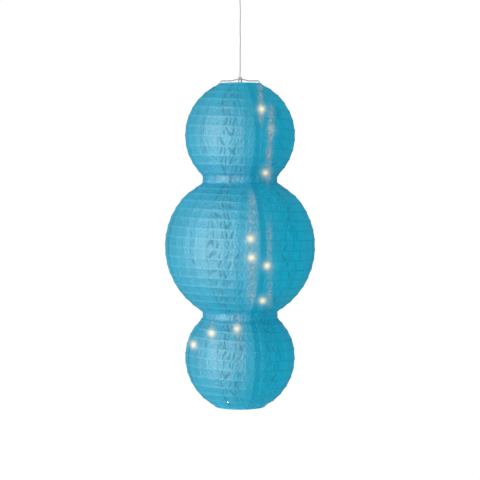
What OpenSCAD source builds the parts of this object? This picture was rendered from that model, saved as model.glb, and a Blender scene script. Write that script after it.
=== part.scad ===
// Accordion lantern: three stacked cloth balls on one spiral wire, hung from a
// ceiling hook by a cord, with a string of small lamps and its battery case inside.
// The origin is the centre of the hook's flange, on the ceiling. The lantern hangs
// along -Z and its front faces -Y. All sizes are in millimetres.

/* [Shade] */
// Widest diameter of the upper ball
top_ball_d = 220; // [180:1:280]
// Widest diameter of the middle ball
middle_ball_d = 300; // [250:1:380]
// Widest diameter of the lower ball
bottom_ball_d = 220; // [180:1:280]
// Outer diameter of the two necks between the balls
neck_d = 148; // [120:1:170]
// Height of each neck's straight band
neck_h = 10; // [6:1:30]
// Thickness of the cloth
cloth_t = 0.6; // [0.4:0.1:1.2]

/* [Rings and rib] */
// Diameter of the top ring, at the middle of its wire
top_ring_d = 83; // [70:1:100]
// Diameter of the bottom ring, at the middle of its wire
bottom_ring_d = 97; // [80:1:110]
// Thickness of the wire of both rings
ring_wire_d = 3; // [2:0.1:4]
// Thickness of the spiral rib's wire
rib_wire_d = 1.2; // [0.8:0.1:1.6]
// Number of turns of the spiral rib
rib_turns = 38; // [30:1:44]
// Turn of the first seam to the right of the front
first_seam_deg = 15; // [0:1:44]

/* [Hook and cord] */
// Distance from the ceiling down to the top ring
hang_drop = 220; // [215:1:225]
// Thickness of the ceiling hook's wire
hook_wire_d = 3; // [2:0.1:4]
// Radius of the ceiling hook's bend, at the middle of its wire
hook_bend_r = 8; // [7:0.5:9]
// Diameter of the ceiling hook's screw
screw_d = 3.2; // [2.5:0.1:5]
// Length of the ceiling hook's screw
screw_l = 18; // [12:1:30]
// Radius of the hanging ring, at the middle of its wire
hang_ring_r = 7; // [7:0.5:9]
// Thickness of the hanging ring's wire
hang_ring_wire_d = 2; // [1.5:0.1:2.4]
// Thickness of the hanging cord
cord_d = 2.2; // [1.8:0.1:2.4]

/* [Hanger and clip] */
// Thickness of the hanger's wire
hanger_wire_d = 2.4; // [2:0.1:2.8]
// Height of the hanger's arms above the top ring
hanger_arm_z = 7.6; // [7:0.2:12]
// Rise of the hanger's middle above its arms
hanger_rise = 2.4; // [1:0.2:4]
// Width of the clip, across its two cheeks
clip_w = 8.2; // [7.6:0.1:9.6]
// Thickness of the clip, front to back
clip_t = 6; // [5:0.5:8]

/* [Battery case] */
// Diameter of one battery cell
cell_d = 14.2; // [13.5:0.1:14.5]
// Length of one battery cell
cell_l = 50.2; // [49:0.1:50.5]
// Wall of the battery case
case_wall = 1.6; // [1.2:0.1:2]
// Gap from the top ring's middle down to the case
case_drop = 9; // [8:0.5:12]
// Travel of the switch
switch_travel = 3; // [2:0.5:3]

/* [Lamps] */
// Diameter of a lamp bead
bead_d = 8; // [6:0.5:9]
// Length of a lamp bead
bead_l = 12; // [9:0.5:14]
// Thickness of the lamp string
string_d = 1.8; // [1.4:0.1:2]

/* [Hidden] */
GORES = 8;

// Clearances
joint_gap = 0.3;     // between round pieces that move on each other
pin_gap = 0.05;      // between a pin and its hole
hem_gap = 0.3;       // between a ring and the cloth around it
rib_gap = 0.5;       // between the rib and the cloth
rib_gap_deg = 0.01;  // between the rib's half turns, a hair's width
lid_gap = 0.2;       // between the case and its lid
cell_gap = 0.3;      // around a cell

// Outline of the shade: ball, neck, ball, neck, ball, followed from the top ring down
top_r = top_ball_d / 2;
middle_r = middle_ball_d / 2;
bottom_r = bottom_ball_d / 2;
neck_r = neck_d / 2;
mouth_r = top_ring_d / 2 + ring_wire_d / 2 + hem_gap + cloth_t;
foot_r = bottom_ring_d / 2 + ring_wire_d / 2 + hem_gap + cloth_t;
top_from = asin(mouth_r / top_r);
top_to = 180 - asin(neck_r / top_r);
middle_from = asin(neck_r / middle_r);
middle_to = 180 - middle_from;
bottom_from = asin(neck_r / bottom_r);
bottom_to = 180 - asin(foot_r / bottom_r);
rim_z = -hang_drop;
top_z = rim_z - top_r * cos(top_from);
neck_1_z = top_z + top_r * cos(top_to);
middle_z = neck_1_z - neck_h - middle_r * cos(middle_from);
neck_2_z = middle_z + middle_r * cos(middle_to);
bottom_z = neck_2_z - neck_h - bottom_r * cos(bottom_from);
foot_z = bottom_z + bottom_r * cos(bottom_to);
top_l = top_r * (top_to - top_from) * PI / 180;
middle_l = middle_r * (middle_to - middle_from) * PI / 180;
bottom_l = bottom_r * (bottom_to - bottom_from) * PI / 180;
outline_l = top_l + neck_h + middle_l + neck_h + bottom_l;

// A point [radius, height] on a ball, at an angle from its top
function on_ball(r, z, angle) = [r * sin(angle), z + r * cos(angle)];
// The point of the outline at a length s from the top ring
function outline(s) =
  s <= top_l ? on_ball(top_r, top_z, top_from + s / top_r * 180 / PI)
  : s <= top_l + neck_h ? [neck_r, neck_1_z - (s - top_l)]
  : s <= top_l + neck_h + middle_l
    ? on_ball(middle_r, middle_z, middle_from + (s - top_l - neck_h) / middle_r * 180 / PI)
  : s <= top_l + 2 * neck_h + middle_l
    ? [neck_r, neck_2_z - (s - top_l - neck_h - middle_l)]
  : on_ball(bottom_r, bottom_z,
            bottom_from + (s - top_l - 2 * neck_h - middle_l) / bottom_r * 180 / PI);

// The cloth is straight between stations, and the rib crosses one each half turn
stations = 2 * rib_turns + 2;
station_l = outline_l / stations;
edge = [for (k = [0:stations]) outline(k * station_l)];
function unit(v) = v / norm(v);
// Direction from the cloth towards the inside at station k
function inward(k) =
  let (along = unit(edge[min(k + 1, stations)] - edge[max(k - 1, 0)]))
  [along[1], -along[0]];
inner_edge = [for (k = [0:stations]) edge[k] + cloth_t * inward(k)];
rib_depth = cloth_t + rib_gap + rib_wire_d / 2;
rib_points = [for (k = [1:stations - 1]) edge[k] + rib_depth * inward(k)];

// Hook, ring and loop, from the ceiling down
hook_z = -26;
flange_t = 2;
flange_r = 7;
shank_bend_r = 5;
ring_rise = hook_wire_d / 2 + joint_gap + hang_ring_wire_d / 2;
hang_ring_z = hook_z + ring_rise - hang_ring_r;
ring_foot_z = hang_ring_z - hang_ring_r;
loop_r = 4;
loop_z = ring_foot_z + hang_ring_wire_d / 2 + joint_gap + cord_d / 2 - loop_r;
knot_top_z = loop_z - loop_r;
knot_h = 6.2;
knot_r = 2.7;

// Clip, on the raised middle of the hanger
bar_z = rim_z + hanger_arm_z + hanger_rise;
ball_r = 1.9;
ball_z = bar_z + hanger_wire_d / 2 + joint_gap + ball_r;
clip_gap_w = cord_d + 2 * joint_gap;
hanger_mid_x = clip_w / 2 + 1;
clip_top_z = ball_z + 1.4;
clip_foot_z = rim_z - case_drop + 1;
rivet_z = rim_z - 3;
rivet_d = 1.8;
cord_hole_d = cord_d + 2 * 0.15;
cord_foot_z = ball_z - 0.6;

// The cord's route, from its knot down to the swivel ball
cord_points = [
  [0, 0, knot_top_z - knot_h], [0, 0, -56], [0.4, 0, -66], [0.8, 0, -76], [0.6, 0, -90],
  [0.3, 0, -105], [0.4, 0, -120], [0.8, 0.3, -130], [0.6, 0.3, -142], [0.3, 0, -155],
  [0.3, 0, -168], [0.4, 0, -180], [0.2, 0, -192], [0, 0, -200], [0, 0, cord_foot_z]
];

// Battery case: two cells side by side
case_w = 2 * (cell_d + 2 * cell_gap) + 2 * case_wall;
case_t = cell_d + 2 * cell_gap + 2 * case_wall;
case_top_z = rim_z - case_drop;
switch_room = 3.6;
spring_h = 2.8;
plate_t = 0.5;
case_h = 2 * case_wall + switch_room + plate_t + cell_l + spring_h;
case_foot_z = case_top_z - case_h;
cell_top_z = case_top_z - case_wall - switch_room - plate_t;
cell_foot_z = cell_top_z - cell_l;
cell_x = (cell_d + 2 * cell_gap) / 2;
lug_w = clip_gap_w - 0.2;
lug_top_z = rim_z + 3;
lid_t = 1.4;
lid_side = 1;
knuckle_r = 1.6;
lid_axis_y = case_t / 2 + lid_gap + knuckle_r;
lid_axis_z = case_top_z - 1.2;
lid_pin_d = 1.6;
ear_w = 3;
ear_x = case_w / 2 - ear_w - 0.5;
ear_reach = knuckle_r * sqrt(2) + joint_gap;
switch_x = 8;
stem_w = 3;
knob_w = 5;
gland_h = 6;

// The lamp string's route, from the case down the front of the balls and round to the back
string_points = [
  [0, 0, case_foot_z], [0, 0, -298], [4, -8, -314], [16, -34, -318], [28, -56, -292],
  [38, -66, -256], [42, -74, -258], [42, -76, -264], [42, -76, -280], [46, -78, -296],
  [54, -76, -294], [60, -73, -286], [62, -74, -304], [62, -74, -320], [60, -68, -350],
  [52, -46, -378], [50, -40, -388], [50, -40, -404], [48, -40, -422], [50, -62, -452],
  [52, -98, -492], [52, -116, -530], [52, -122, -566], [52, -122, -582], [50, -108, -612],
  [44, -78, -636], [44, -78, -652], [38, -74, -662], [30, -80, -656], [26, -98, -628],
  [22, -126, -590], [22, -134, -566], [22, -134, -550], [20, -123, -532], [20, -123, -512],
  [14, -104, -482], [4, -84, -476], [-4, -72, -490], [-8, -64, -530], [-8, -60, -606],
  [-8, -60, -650], [-6, -62, -680], [-6, -70, -692], [-6, -70, -708], [-20, -78, -724],
  [-40, -72, -714], [-50, -62, -698], [-56, -56, -702], [-56, -56, -718], [-66, -54, -732],
  [-82, -42, -730], [-92, -20, -722], [-92, -20, -744], [-90, 2, -760], [-80, 34, -760],
  [-60, 66, -756], [-58, 66, -762], [-58, 66, -778], [-44, 80, -796], [-22, 88, -804],
  [-4, 92, -796], [0, 92, -800], [0, 92, -812]
];
lamp_points = [
  [42, -76, -272], [62, -74, -312], [50, -40, -396], [52, -122, -574], [44, -78, -644],
  [22, -134, -558], [20, -123, -522], [-6, -70, -700], [-56, -56, -710], [-92, -20, -735],
  [-58, 66, -770], [0, 92, -806]
];
lamp_hole_d = string_d + 1.2;

// Colours
cloth_blue = [0.20, 0.62, 0.78];
white_plastic = [0.93, 0.94, 0.94];
clear_cord = [0.84, 0.86, 0.87];
white_wire = [0.86, 0.87, 0.88];
steel = [0.70, 0.72, 0.74];
lamp_glow = [1.00, 0.97, 0.88];

// A straight round bar from a to b
module bar(a, b, d) {
  v = b - a;
  translate(a)
    rotate([0, acos(v[2] / norm(v)), atan2(v[1], v[0])])
      cylinder(h = norm(v), d = d, $fn = 32);
}

// Part of a round wire ring in the XZ plane, with angles from +X towards +Z
module wire_arc(r, from, to, d) {
  rotate([90, 0, 0])
    rotate([0, 0, from])
      rotate_extrude(angle = to - from, $fn = 64)
        translate([r, 0]) circle(d = d, $fn = 32);
}

// A weld that joins two lengths of wire end to end, a little thicker than the wire
module weld(p, d) {
  translate(p) sphere(d = 1.04 * d, $fn = 32);
}

// A flat round wire ring in the XY plane
module wire_ring(r, d) {
  rotate_extrude($fn = 128) translate([r, 0]) circle(d = d, $fn = 32);
}

// A block with its corners rounded in plan
module rounded_block(w, t, h, r) {
  linear_extrude(h)
    union() {
      square([w - 2 * r, t], center = true);
      square([w, t - 2 * r], center = true);
      for (x = [-1, 1], y = [-1, 1])
        translate([x * (w / 2 - r), y * (t / 2 - r)]) circle(r = r, $fn = 32);
    }
}

// A vector without its part along the unit vector t
function across(v, t) = unit(v - (v * t) * t);
// The direction of a route at point i
function route_dir(p, i) =
  let (n = len(p) - 1)
  i == 0 ? unit(p[1] - p[0])
  : i == n ? unit(p[n] - p[n - 1])
  : unit(unit(p[i + 1] - p[i]) + unit(p[i] - p[i - 1]));

// A closed tube with flat ends along a route, without twist from ring to ring
module tube(p, d, sides = 8) {
  n = len(p);
  dirs = [for (i = [0:n - 1]) route_dir(p, i)];
  sides_at = [
    for (i = 0, v = across([1, 0.1, 0], dirs[0]);
         i < n;
         i = i + 1, v = i < n ? across(v, dirs[i]) : v) v
  ];
  rings = [
    for (i = [0:n - 1], j = [0:sides - 1])
      let (a = 360 * j / sides)
      p[i] + d / 2 * (cos(a) * sides_at[i] + sin(a) * cross(dirs[i], sides_at[i]))
  ];
  walls = [
    for (i = [0:n - 2], j = [0:sides - 1])
      let (k = (j + 1) % sides)
      for (f = [[i * sides + j, (i + 1) * sides + j, (i + 1) * sides + k],
                [i * sides + j, (i + 1) * sides + k, i * sides + k]]) f
  ];
  start = [for (j = [0:sides - 1]) j];
  end = [for (j = [sides - 1:-1:0]) (n - 1) * sides + j];
  polyhedron(rings, concat(walls, [start, end]));
}

// The shank bends one way and the hook the other, so that the load hangs under the screw
module ceiling_hook() {
  rise = sqrt(pow(shank_bend_r + hook_bend_r, 2) - pow(shank_bend_r, 2));
  turn = atan2(rise, shank_bend_r);
  hook_mid_z = hook_z + hook_bend_r;
  color(white_plastic) {
    cylinder(h = screw_l, d = screw_d, $fn = 48);
    translate([0, 0, -flange_t]) cylinder(h = flange_t, r = flange_r, $fn = 64);
    bar([0, 0, hook_mid_z + rise], [0, 0, -flange_t], hook_wire_d);
    translate([-shank_bend_r, 0, hook_mid_z + rise])
      wire_arc(shank_bend_r, -turn, 0, hook_wire_d);
    translate([0, 0, hook_mid_z]) wire_arc(hook_bend_r, 180 - turn, 395, hook_wire_d);
    weld([0, 0, hook_mid_z + rise], hook_wire_d);
    weld([-hook_bend_r * cos(turn), 0, hook_mid_z + hook_bend_r * sin(turn)], hook_wire_d);
  }
}

module hang_ring() {
  color(steel)
    translate([0, 0, hang_ring_z])
      rotate([0, 90, 0]) wire_ring(hang_ring_r, hang_ring_wire_d);
}

module cord_loop() {
  color(clear_cord) {
    translate([0, 0, loop_z]) rotate([90, 0, 0]) wire_ring(loop_r, cord_d);
    translate([0, 0, knot_top_z - knot_h])
      rotate_extrude($fn = 48)
        polygon([[0, 0], [1.5, 0], [knot_r, 1.4], [knot_r, 4.6], [1.5, knot_h], [0, knot_h]]);
  }
}

module hanging_cord() {
  color(clear_cord) tube(cord_points, cord_d);
}

module swivel_ball() {
  color(white_plastic)
    difference() {
      translate([0, 0, ball_z]) sphere(r = ball_r, $fn = 48);
      translate([0, 0, cord_foot_z - 0.1]) cylinder(h = 2 * ball_r, d = cord_hole_d, $fn = 32);
    }
}

// One cheek of the clip: a socket for the swivel ball, and holes for the hanger and the rivet
module clip_cheek() {
  cheek_w = (clip_w - clip_gap_w) / 2;
  difference() {
    translate([clip_gap_w / 2 + cheek_w / 2, 0, clip_foot_z])
      rounded_block(cheek_w, clip_t, clip_top_z - clip_foot_z, 0.6);
    translate([0, 0, ball_z]) sphere(r = ball_r + joint_gap, $fn = 48);
    bar([0, 0, bar_z], [clip_w, 0, bar_z], hanger_wire_d + 2 * pin_gap);
    bar([0, 0, rivet_z], [clip_w, 0, rivet_z], rivet_d + 2 * pin_gap);
  }
}

module clip_left() {
  color(white_plastic) mirror([1, 0, 0]) clip_cheek();
}

module clip_right() {
  color(white_plastic) clip_cheek();
}

module clip_rivet() {
  rivet_l = clip_w + 1;
  color(steel) bar([-rivet_l / 2, 0, rivet_z], [rivet_l / 2, 0, rivet_z], rivet_d);
}

// Half of the hanger: from its straight middle out to its arm, down, and under the top ring
module hanger_half() {
  hook_r = ring_wire_d / 2 + joint_gap + hanger_wire_d / 2;
  leg_x = top_ring_d / 2 - hook_r;
  corner_r = 3;
  arm_z = rim_z + hanger_arm_z;
  slope_x = 20;
  slope = 2 * atan(hanger_rise / (slope_x - hanger_mid_x));
  slope_r = (slope_x - hanger_mid_x) / 2 / sin(slope);
  d = hanger_wire_d;
  translate([hanger_mid_x, 0, bar_z - slope_r]) wire_arc(slope_r, 90 - slope, 90, d);
  translate([slope_x, 0, arm_z + slope_r]) wire_arc(slope_r, -90 - slope, -90, d);
  bar([slope_x, 0, arm_z], [leg_x - corner_r, 0, arm_z], d);
  translate([leg_x - corner_r, 0, arm_z - corner_r]) wire_arc(corner_r, 0, 90, d);
  bar([leg_x, 0, rim_z], [leg_x, 0, arm_z - corner_r], d);
  translate([top_ring_d / 2, 0, rim_z]) wire_arc(hook_r, 180, 325, d);
  slope_mid = [(hanger_mid_x + slope_x) / 2, 0, (bar_z + arm_z) / 2];
  for (p = [[hanger_mid_x, 0, bar_z], slope_mid, [slope_x, 0, arm_z],
            [leg_x - corner_r, 0, arm_z], [leg_x, 0, arm_z - corner_r], [leg_x, 0, rim_z]])
    weld(p, d);
}

module hanger_wire() {
  color(white_wire) {
    bar([-hanger_mid_x, 0, bar_z], [hanger_mid_x, 0, bar_z], hanger_wire_d);
    hanger_half();
    mirror([1, 0, 0]) hanger_half();
  }
}

module top_ring() {
  color(white_wire) translate([0, 0, rim_z]) wire_ring(top_ring_d / 2, ring_wire_d);
}

module bottom_ring() {
  color(white_wire) translate([0, 0, foot_z]) wire_ring(bottom_ring_d / 2, ring_wire_d);
}

// Half a turn of the rib, from a on one side of the lantern to b on the other
module rib_half_turn(a, b) {
  across_l = a[0] + b[0];
  drop = a[1] - b[1];
  translate([(b[0] - a[0]) / 2, 0, (a[1] + b[1]) / 2])
    rotate([0, atan2(drop, across_l), 0])
      rotate([0, 0, 180 + rib_gap_deg])
        rotate_extrude(angle = 180 - 2 * rib_gap_deg, $fn = 96)
          translate([norm([across_l, drop]) / 2, 0]) circle(d = rib_wire_d, $fn = 8);
}

// One spiral wire, made of tangent half turns: left to right at the front, then back behind
module rib_spiral() {
  color(steel)
    for (k = [0:len(rib_points) - 2])
      rotate([0, 0, 180 * (k % 2)]) rib_half_turn(rib_points[k], rib_points[k + 1]);
}

// One of the long cloth strips that are sewn together round the shade
module gore(i) {
  step = 360 / GORES;
  seam_gap_deg = 0.1;
  color(cloth_blue)
    rotate([0, 0, -90 + first_seam_deg + (i - 1) * step])
      rotate_extrude(angle = step - seam_gap_deg, $fn = 144)
        polygon(concat(edge, [for (k = [stations:-1:0]) inner_edge[k]]));
}

module battery_case() {
  inner_w = case_w - 2 * case_wall;
  inner_t = case_t - 2 * case_wall;
  color(white_plastic) {
    difference() {
      translate([0, 0, case_foot_z]) rounded_block(case_w, case_t, case_h, 2);
      translate([-inner_w / 2, -inner_t / 2, case_foot_z + case_wall])
        cube([inner_w, case_t, case_h - 2 * case_wall]);
      translate([switch_x - stem_w / 2 - joint_gap, -stem_w / 2 - joint_gap,
                 case_top_z - case_wall - 1])
        cube([stem_w + switch_travel + 2 * joint_gap, stem_w + 2 * joint_gap, case_wall + 2]);
    }
    difference() {
      translate([-lug_w / 2, -clip_t / 2 + 0.5, case_top_z - 0.01])
        cube([lug_w, clip_t - 1, lug_top_z - case_top_z]);
      bar([-lug_w, 0, rivet_z], [lug_w, 0, rivet_z], rivet_d + 2 * pin_gap);
    }
    for (side = [-1, 1])
      difference() {
        translate([side > 0 ? ear_x : -ear_x - ear_w, case_t / 2 - 0.5, lid_axis_z - knuckle_r])
          cube([ear_w, 0.5 + lid_gap + 2 * knuckle_r, 2 * knuckle_r]);
        bar([side * (ear_x - 1), lid_axis_y, lid_axis_z],
            [side * (ear_x + ear_w + 1), lid_axis_y, lid_axis_z], lid_pin_d + 2 * pin_gap);
      }
  }
}

// The lid hangs on its pin and swings outwards
module battery_lid() {
  knuckle_w = 2 * (ear_x - joint_gap);
  lid_w = case_w - 2 * lid_side;
  lid_h = case_h - 3;
  lid_y = case_t / 2 + lid_gap;
  color(white_plastic)
    difference() {
      union() {
        translate([-knuckle_w / 2, lid_y, lid_axis_z - 6])
          cube([knuckle_w, lid_t, 6]);
        translate([-lid_w / 2, lid_y, lid_axis_z - lid_h])
          cube([lid_w, lid_t, lid_h - ear_reach]);
        bar([-knuckle_w / 2, lid_axis_y, lid_axis_z], [knuckle_w / 2, lid_axis_y, lid_axis_z],
            2 * knuckle_r);
        translate([-4, lid_y + lid_t - 0.01, lid_axis_z - lid_h]) cube([8, 1.6, 2]);
      }
      bar([-case_w, lid_axis_y, lid_axis_z], [case_w, lid_axis_y, lid_axis_z],
          lid_pin_d + 2 * pin_gap);
    }
}

module lid_pin() {
  pin_x = ear_x + ear_w;
  color(steel)
    bar([-pin_x, lid_axis_y, lid_axis_z], [pin_x, lid_axis_y, lid_axis_z], lid_pin_d);
}

// A cell: a can with a smaller button on top
module cell(x) {
  button_h = 1.4;
  color([0.25, 0.27, 0.30])
    translate([x, 0, cell_foot_z]) {
      cylinder(h = cell_l - button_h, d = cell_d, $fn = 64);
      cylinder(h = cell_l, d = 5.4, $fn = 32);
    }
}

module cell_left() {
  cell(-cell_x);
}

module cell_right() {
  cell(cell_x);
}

// The two springs under the cells, as stacked rings of wire
module cell_springs() {
  wire_d = 0.6;
  turns = 4;
  pitch = (spring_h - wire_d - 0.2) / (turns - 1);
  color(steel)
    for (x = [-cell_x, cell_x], t = [0:turns - 1])
      translate([x, 0, case_foot_z + case_wall + 0.1 + wire_d / 2 + t * pitch])
        wire_ring(4 - 0.4 * t, wire_d);
}

// The strip that joins the two cells' top ends
module contact_plate() {
  plate_w = case_w - 2 * case_wall - 0.4;
  color(steel)
    translate([-plate_w / 2, -4, cell_top_z + 0.05]) cube([plate_w, 8, plate_t - 0.1]);
}

module switch_knob() {
  foot_h = 1.2;
  head_h = 2.2;
  color([0.20, 0.21, 0.22]) {
    translate([switch_x - knob_w / 2, -knob_w / 2, case_top_z + joint_gap])
      cube([knob_w, knob_w, head_h]);
    translate([switch_x - stem_w / 2, -stem_w / 2, case_top_z - case_wall - joint_gap - 0.1])
      cube([stem_w, stem_w, case_wall + 2 * joint_gap + 0.2]);
    translate([switch_x - knob_w / 2, -knob_w / 2, case_top_z - case_wall - joint_gap - foot_h])
      cube([knob_w, knob_w, foot_h]);
  }
}

// The tapered sleeve that the lamp string comes out of
module string_gland() {
  hole_r = string_d / 2 + 0.4;
  color(white_plastic)
    translate([0, 0, case_foot_z - gland_h])
      rotate_extrude($fn = 48)
        polygon([[hole_r, 0], [2.1, 0], [3.4, gland_h], [hole_r, gland_h]]);
}

module lamp_string() {
  color(clear_cord) tube(string_points, string_d);
}

// A lamp bead: a barrel with round shoulders on the string
module lamp(i) {
  r = bead_d / 2;
  hole_r = lamp_hole_d / 2;
  shoulder = 2;
  color(lamp_glow)
    translate(lamp_points[i - 1] - [0, 0, bead_l / 2])
      rotate_extrude($fn = 48)
        difference() {
          union() {
            square([r - shoulder, bead_l]);
            translate([0, shoulder]) square([r, bead_l - 2 * shoulder]);
            for (z = [shoulder, bead_l - shoulder])
              translate([r - shoulder, z]) circle(r = shoulder, $fn = 32);
          }
          translate([-1, -1]) square([1 + hole_r, bead_l + 2]);
        }
}

ceiling_hook();
hang_ring();
cord_loop();
hanging_cord();
swivel_ball();
clip_left();
clip_right();
clip_rivet();
hanger_wire();
top_ring();
rib_spiral();
bottom_ring();
for (i = [1:GORES])
  gore(i);
battery_case();
battery_lid();
lid_pin();
cell_left();
cell_right();
cell_springs();
contact_plate();
switch_knob();
string_gland();
lamp_string();
for (i = [1:len(lamp_points)])
  lamp(i);
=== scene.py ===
import math

import bpy
import numpy as np
from bpy.props import FloatProperty, FloatVectorProperty, IntProperty, PointerProperty
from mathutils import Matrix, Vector


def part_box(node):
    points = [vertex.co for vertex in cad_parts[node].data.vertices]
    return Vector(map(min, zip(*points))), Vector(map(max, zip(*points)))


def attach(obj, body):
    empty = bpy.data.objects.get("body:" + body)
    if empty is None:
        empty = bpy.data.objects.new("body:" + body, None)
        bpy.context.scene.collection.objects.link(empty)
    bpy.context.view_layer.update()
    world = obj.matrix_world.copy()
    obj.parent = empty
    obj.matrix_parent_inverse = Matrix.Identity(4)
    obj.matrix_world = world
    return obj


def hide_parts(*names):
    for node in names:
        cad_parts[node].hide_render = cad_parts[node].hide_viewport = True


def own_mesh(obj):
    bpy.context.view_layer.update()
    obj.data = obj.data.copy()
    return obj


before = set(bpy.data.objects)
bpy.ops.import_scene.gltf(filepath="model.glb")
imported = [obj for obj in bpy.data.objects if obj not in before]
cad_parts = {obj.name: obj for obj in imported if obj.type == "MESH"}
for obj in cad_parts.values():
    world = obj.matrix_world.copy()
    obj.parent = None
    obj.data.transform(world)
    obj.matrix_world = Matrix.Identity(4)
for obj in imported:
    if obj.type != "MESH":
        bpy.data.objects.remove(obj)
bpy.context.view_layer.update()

bl_info = {
    "name": "Accordion lantern",
    "version": (1, 0, 0),
    "blender": (4, 5, 0),
    "location": "3D View > Sidebar > Lantern",
    "description": "Cloth, wire, cords and lamps of a hanging accordion lantern",
    "category": "Object",
}

MM = 0.001
GORES = 8
LAMPS = 12


# ---- Places and sizes that come from the frame ------------------------------------------


def box_of(node):
    """The lowest and highest corner of a CAD node, as two arrays."""
    low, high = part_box(node)
    return np.array(low, float), np.array(high, float)


def middle_of(node):
    """The middle of a CAD node's box."""
    low, high = box_of(node)
    return (low + high) / 2


def ring_facts(node):
    """A wire ring's height, its radius at the middle of the wire, and the wire's radius."""
    low, high = box_of(node)
    wire = (high[2] - low[2]) / 2
    return (low[2] + high[2]) / 2, high[0] - wire, wire


RIM_Z, RIM_R, RING_WIRE = ring_facts("top_ring")
FOOT_Z, FOOT_R, _ = ring_facts("bottom_ring")
# From a ring's wire to the outside of its hem
HEM_REACH = 0.0003 + 0.0006


# ---- Settings ----------------------------------------------------------------------------


class LanternCloth(bpy.types.PropertyGroup):
    """Sizes and colours of the cloth shade"""

    top_ball: FloatProperty(
        name="Upper ball", description="Widest diameter of the upper ball",
        default=0.220, min=0.1, unit="LENGTH")
    middle_ball: FloatProperty(
        name="Middle ball", description="Widest diameter of the middle ball",
        default=0.300, min=0.1, unit="LENGTH")
    bottom_ball: FloatProperty(
        name="Lower ball", description="Widest diameter of the lower ball",
        default=0.220, min=0.1, unit="LENGTH")
    neck: FloatProperty(
        name="Necks", description="Diameter of the two necks",
        default=0.148, min=0.05, unit="LENGTH")
    neck_band: FloatProperty(
        name="Neck band", description="Height of each neck's straight band",
        default=0.010, min=0.001, unit="LENGTH")
    turns: IntProperty(
        name="Rib turns", description="Turns of the spiral rib", default=38, min=10)
    thickness: FloatProperty(
        name="Cloth", description="Thickness of the cloth", default=0.0004, unit="LENGTH")
    sag: FloatProperty(
        name="Sag", description="How far the cloth pulls in between two turns of the rib",
        default=0.0006, unit="LENGTH")
    pucker: FloatProperty(
        name="Puckers", description="Depth of the small puckers between two turns of the rib",
        default=0.0010, unit="LENGTH")
    lap: FloatProperty(
        name="Seam lap", description="Width of the overlap where two strips are sewn together",
        default=0.011, unit="LENGTH")
    dye: FloatVectorProperty(
        name="Dye", description="Colour of the cloth", subtype="COLOR", size=3,
        default=(0.0, 0.475, 0.71), min=0, max=1)
    light_through: FloatVectorProperty(
        name="Lamp light", description="Colour of the lamps' light in the cloth",
        subtype="COLOR", size=3, default=(1.0, 0.88, 0.68), min=0, max=1)


class LanternCords(bpy.types.PropertyGroup):
    """Sizes and colours of the hanging cord, the rib and the lamp string"""

    cord: FloatProperty(
        name="Hanging cord", description="Thickness of the twisted hanging cord",
        default=0.0022, unit="LENGTH")
    string: FloatProperty(
        name="Lamp string", description="Thickness of the lamp string's twisted pair",
        default=0.0018, unit="LENGTH")
    rib: FloatProperty(
        name="Rib", description="Thickness of the spiral rib's wire",
        default=0.0012, unit="LENGTH")
    twist: FloatProperty(
        name="Twist", description="Length of one full twist of a cord's strands, in thicknesses",
        default=4.5)
    cord_colour: FloatVectorProperty(
        name="Cord colour", description="Colour of the hanging cord", subtype="COLOR", size=3,
        default=(0.52, 0.54, 0.56), min=0, max=1)
    string_colour: FloatVectorProperty(
        name="String colour", description="Colour of the lamp string", subtype="COLOR", size=3,
        default=(0.55, 0.57, 0.58), min=0, max=1)


class LanternFittings(bpy.types.PropertyGroup):
    """Colours of the wire, plastic and metal pieces"""

    plastic: FloatVectorProperty(
        name="Plastic", description="Colour of the white plastic pieces", subtype="COLOR",
        size=3, default=(0.78, 0.80, 0.80), min=0, max=1)
    wire: FloatVectorProperty(
        name="Coated wire", description="Colour of the coated wire of the hanger and rings",
        subtype="COLOR", size=3, default=(0.50, 0.53, 0.55), min=0, max=1)
    steel: FloatVectorProperty(
        name="Steel", description="Colour of the bare steel", subtype="COLOR", size=3,
        default=(0.56, 0.57, 0.58), min=0, max=1)
    jacket: FloatVectorProperty(
        name="Cell jacket", description="Colour of the battery cells' sleeve",
        subtype="COLOR", size=3, default=(0.03, 0.16, 0.10), min=0, max=1)


class LanternStage(bpy.types.PropertyGroup):
    """Camera and studio light"""

    distance: FloatProperty(
        name="Camera distance", description="From the lantern's axis to the camera",
        default=3.3, unit="LENGTH")
    eye: FloatProperty(
        name="Camera drop", description="How far the camera is below the ceiling",
        default=0.398, unit="LENGTH")
    aim: FloatProperty(
        name="Aim drop", description="How far below the ceiling the camera looks",
        default=0.530, unit="LENGTH")
    view_angle: FloatProperty(
        name="View angle", description="The camera's angle of view", subtype="ANGLE",
        unit="ROTATION", default=math.radians(16.55))
    room_light: FloatProperty(
        name="Room light", description="Strength of the light from all round", default=0.92)
    room_gloss: FloatProperty(
        name="Room gloss", description="Strength of the room in reflections", default=0.45)
    sheen_light: FloatProperty(
        name="Strip light", description="Power of the tall strip light at the front left, in W",
        default=1750)


# ---- Shapes as arrays --------------------------------------------------------------------


def unit(v):
    """Each row of v divided by its own length."""
    return v / np.maximum(np.linalg.norm(v, axis=-1, keepdims=True), 1e-12)


def grid_quads(rows, cols, wrap_rows=False, wrap_cols=False):
    """Quads between the points of a grid that is stored row by row; a wrap joins its last
    row or column to the first."""
    i = np.arange(rows if wrap_rows else rows - 1)
    j = np.arange(cols if wrap_cols else cols - 1)
    i, j = np.meshgrid(i, j, indexing="ij")
    k, m = (i + 1) % rows, (j + 1) % cols
    return np.stack([i * cols + j, i * cols + m, k * cols + m, k * cols + j], -1).reshape(-1, 4)


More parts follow.
